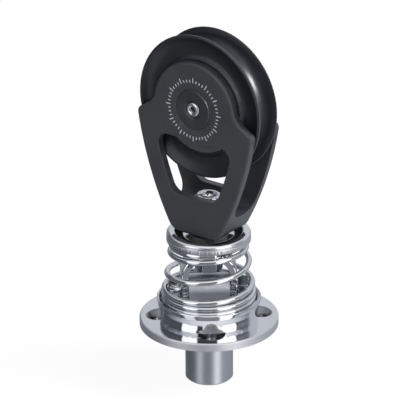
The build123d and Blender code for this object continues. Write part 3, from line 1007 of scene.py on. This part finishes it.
class Wheel(Assembly):
    """The sheave with its rows of balls and their cages."""

    def build(self) -> list[bpy.types.Object]:
        """Dresses the wheel, and gives its pieces."""
        pieces = self.carried(Body.SHEAVE, "sheave_anodised", Finishes.SHEAVE, "sheave")
        for end, body in zip(ENDS, (Body.FRONT_BALLS, Body.REAR_BALLS)):
            pieces += self.carried(body, "ball_steel", Finishes.BALL, f"balls_{end}")
            pieces += self.carried(body, "cage_plastic", Finishes.CAGE, f"ball_cage_{end}")
        return pieces


@dataclass(frozen=True)
class Panel:
    """A bright or dark patch of the studio, as the polished steel sees it.

    Attributes:
        turn: Its middle's angle from the camera, positive to the right of the picture, in degrees.
        height: Its middle's elevation in degrees.
        half_width: Half its width in degrees.
        half_height: Half its height in degrees.
        level: Its brightness.
        soft: How far its edge fades, in degrees.
    """

    turn: float
    height: float
    half_width: float
    half_height: float
    level: float
    soft: float


@dataclass
class Studio:
    """The camera, the lights, the surrounding studio and the floor.

    Attributes:
        turn: The camera's azimuth in degrees.
        rise: The camera's elevation in degrees.
        distance: Its distance from the target.
        target: The point that it looks at.
        lens: Its focal length in millimetres.
        sensor: Its sensor's width in millimetres.
        shift: Its sideways shift, as a share of the picture.
        roll: Its roll in degrees.
        floor_height: The floor's height, just under the shank's end.
        floor_share: How much of the floor's light, as the camera sees it, is plain white.
        gap: The brightness of the studio between its panels, below the ceiling.
        ceiling: The ceiling's brightness, and what it gains ahead and to the right.
        ceiling_step: The elevations between which the ceiling begins, in degrees.
        even: The brightness that everything but gloss sees.
        lamp_distance: The lights' distance from the target.
        panels: Its brighter and darker patches, the later ones over the earlier.
    """

    turn: float = 37.01
    rise: float = 23.47
    distance: float = 1.51944
    target: tuple[float, float, float] = (0.0, 0.0, 0.05171)
    lens: float = 319.45
    sensor: float = 36.0
    shift: float = -0.51 / 416
    roll: float = -0.27
    floor_height: float = -25.05 * MM
    floor_share: float = 0.93
    gap: float = 0.07
    ceiling: tuple[float, float, float] = (0.78, 0.40, 0.14)
    ceiling_step: tuple[float, float] = (25.0, 33.0)
    even: float = 0.46
    lamp_distance: float = 1.3
    panels: tuple[Panel, ...] = (
        Panel(-110, -15, 35, 30, 0.14, 15),
        Panel(112, -15, 38, 30, 0.36, 15),
        Panel(180, -12, 30, 22, 0.30, 20),
        Panel(130, -55, 60, 18, 0.60, 15),
        Panel(150, 20, 35, 16, 0.66, 18),
        Panel(0, -30, 20, 25, 0.27, 15),
        Panel(-46, -30, 9, 25, 0.85, 9),
        Panel(40, -30, 10, 25, 1.45, 9),
        Panel(-46, 13, 16, 13, 1.6, 5),
        Panel(42, 13, 20, 13, 2.0, 5),
    )

    TINTED: ClassVar[tuple[float, float]] = (0.3, 1.1)
    DIM_TINT: ClassVar[tuple[float, ...]] = (0.90, 0.95, 1.06, 1.0)
    BRIGHT_TINT: ClassVar[tuple[float, ...]] = (1.0, 1.0, 1.0, 1.0)
    EVEN_TINT: ClassVar[tuple[float, ...]] = (0.97, 0.985, 1.0, 1.0)

    def towards(self, turn: float, rise: float) -> Vector:
        """The direction at a turn from the camera and at an elevation, both in degrees."""
        turn, rise = math.radians(self.turn + turn), math.radians(rise)
        return Vector((math.sin(turn) * math.cos(rise), -math.cos(turn) * math.cos(rise), math.sin(rise)))

    def camera(self) -> None:
        """Makes the camera where the photograph was taken from."""
        back = self.towards(0.0, self.rise)
        right = -self.towards(-90.0, 0.0)
        upward = back.cross(right)
        roll = math.radians(self.roll)
        rolled = right * math.cos(roll) + upward * math.sin(roll)
        upright = upward * math.cos(roll) - right * math.sin(roll)
        lens = bpy.data.cameras.new("camera")
        lens.sensor_width = self.sensor
        lens.lens = self.lens
        lens.shift_x = self.shift
        lens.clip_end = 20.0
        eye = bpy.data.objects.new("camera", lens)
        turned = Matrix((rolled, upright, back)).transposed().to_4x4()
        eye.matrix_world = Matrix.Translation(Vector(self.target) + back * self.distance) @ turned
        bpy.context.scene.collection.objects.link(eye)
        bpy.context.scene.camera = eye

    def light(
        self, name: str, turn: float, rise: float, size: float, power: float,
        lit: Sequence[bpy.types.Object] = (),
    ) -> None:
        """Hangs a square soft light that faces the block.

        Args:
            name: The light's name.
            turn: Its azimuth from the camera, positive to the right of the picture, in degrees.
            rise: Its elevation in degrees.
            size: Its side in metres.
            power: Its power in watts.
            lit: The only pieces that it lights, which mirror it too; without them it lights all, unmirrored.
        """
        back = self.towards(turn, rise)
        lamp = bpy.data.lights.new(name, "AREA")
        lamp.size = size
        lamp.energy = power
        hung = bpy.data.objects.new(name, lamp)
        hung.matrix_world = Matrix.Translation(Vector(self.target) + back * self.lamp_distance) @ (
            back.to_track_quat("Z", "Y").to_matrix().to_4x4()
        )
        hung.visible_glossy = bool(lit)
        bpy.context.scene.collection.objects.link(hung)
        if lit:
            reach = bpy.data.collections.new(f"{name}_reach")
            hung.light_linking.receiver_collection = reach
            for piece in lit:
                reach.objects.link(piece)

    def world(self) -> None:
        """Builds the surroundings: white for the camera, panels for gloss and an even light for the rest."""
        world = bpy.data.worlds.new("studio")
        bpy.context.scene.world = world
        world.use_nodes = True
        world.node_tree.nodes.clear()
        sky = Wiring(world.node_tree)
        level = self.brightness(sky)
        tint = sky.mixed(sky.smooth(level, *self.TINTED, 0.0, 1.0), self.DIM_TINT, self.BRIGHT_TINT)
        seen = sky.node("ShaderNodeBackground", {"Color": tint, "Strength": level}).outputs[0]
        even = sky.node("ShaderNodeBackground", {"Color": self.EVEN_TINT, "Strength": self.even}).outputs[0]
        white = sky.node("ShaderNodeBackground", {"Strength": 1.0}).outputs[0]
        path = sky.node("ShaderNodeLightPath").outputs
        glossy = sky.node("ShaderNodeMixShader", {"Fac": path["Is Glossy Ray"], 1: even, 2: seen}).outputs[0]
        direct = sky.math("MAXIMUM", path["Is Camera Ray"], path["Is Transmission Ray"])
        shown = sky.node("ShaderNodeMixShader", {"Fac": direct, 1: glossy, 2: white}).outputs[0]
        sky.node("ShaderNodeOutputWorld", {"Surface": shown})

    def brightness(self, sky: Wiring) -> bpy.types.NodeSocket:
        """Adds the brightness that gloss sees: the gap, the ceiling, and over them each panel in turn.

        Args:
            sky: The world's nodes.

        Returns:
            The brightness.
        """
        turned = {
            "Vector": sky.node("ShaderNodeTexCoord").outputs["Generated"],
            "Angle": math.radians(90 - self.turn),
        }
        spin = sky.node("ShaderNodeVectorRotate", turned, rotation_type="Z_AXIS")
        apart = sky.split(spin.outputs["Vector"])
        degrees = 180 / math.pi
        around = sky.math("MULTIPLY", sky.math("ARCTAN2", apart["Y"], apart["X"]), degrees)
        above = sky.math("MULTIPLY", sky.math("ARCSINE", apart["Z"]), degrees)
        plain, gain_ahead, gain_right = self.ceiling
        ahead = sky.math("MULTIPLY", apart["X"], gain_ahead)
        right = sky.math("MULTIPLY", apart["Y"], gain_right)
        ceiling = sky.math("ADD", sky.math("ADD", ahead, right), plain)
        level = sky.smooth(above, *self.ceiling_step, self.gap, ceiling)
        for panel in self.panels:
            off = sky.math("SUBTRACT", around, panel.turn)
            off = sky.math("ABSOLUTE", sky.math("WRAP", off, 180.0, -180.0))
            up = sky.math("ABSOLUTE", sky.math("SUBTRACT", above, panel.height))
            wide = sky.smooth(off, panel.half_width, panel.half_width + panel.soft, 1.0, 0.0)
            high = sky.smooth(up, panel.half_height, panel.half_height + panel.soft, 1.0, 0.0)
            inside = sky.math("MULTIPLY", wide, high)
            beside = sky.math("MULTIPLY", level, sky.math("SUBTRACT", 1.0, inside))
            level = sky.math("ADD", beside, sky.math("MULTIPLY", inside, panel.level))
        return level

    def floor(self) -> None:
        """Lays a round white floor just under the shank's end."""
        around = np.linspace(0.0, 2 * np.pi, 128, endpoint=False)
        radii = np.array([0.0005, 0.5, 1.5, 4.0, 9.0])
        x = radii[:, None] * np.cos(around)
        y = radii[:, None] * np.sin(around)
        z = np.full_like(x, self.floor_height)
        points = np.stack([x, y, z], axis=2).reshape(-1, 3)
        paint = Paint("white_floor")
        paint.set("Base Color", (0.9, 0.9, 0.9, 1.0))
        paint.set("Roughness", 0.9)
        glow = paint.node("ShaderNodeEmission", {"Strength": 1.0}).outputs[0]
        direct = paint.node("ShaderNodeLightPath").outputs["Is Camera Ray"]
        share = paint.math("MULTIPLY", direct, self.floor_share)
        shown = paint.node("ShaderNodeMixShader", {"Fac": share, 1: paint.shader.outputs[0], 2: glow})
        paint.feed(paint.tree.nodes["Material Output"].inputs["Surface"], shown.outputs[0])
        sheet = mesh_piece("floor", points, grid_faces(len(radii), len(around)), paint.material)
        sheet.visible_glossy = False

    def build(self, lit: Sequence[bpy.types.Object]) -> None:
        """Sets up the whole studio.

        Args:
            lit: The wheel and the caps, which have a light of their own.
        """
        self.camera()
        self.world()
        self.light("key", 78, 38, 0.7, 25.0)
        self.light("fill", -60, 45, 0.9, 5.0)
        self.light("wheel_light", 38, 32, 0.45, 36.0, lit)
        self.floor()
        bpy.context.scene.view_settings.view_transform = "Standard"


def main() -> None:
    """Builds the block's finishes and pieces in order, then the studio."""
    logging.basicConfig(level=logging.INFO, format="%(name)s: %(message)s")
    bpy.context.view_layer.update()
    finishes = Finishes()
    pieces = []
    for assembly in (Base(finishes), Toggle(finishes), Block(finishes), Wheel(finishes)):
        pieces += assembly.build()
    log.info("built %d pieces", len(pieces))
    Studio().build([piece for piece in pieces if piece.name.startswith(("sheave", "axle_cap"))])


if __name__ == "__main__":
    main()
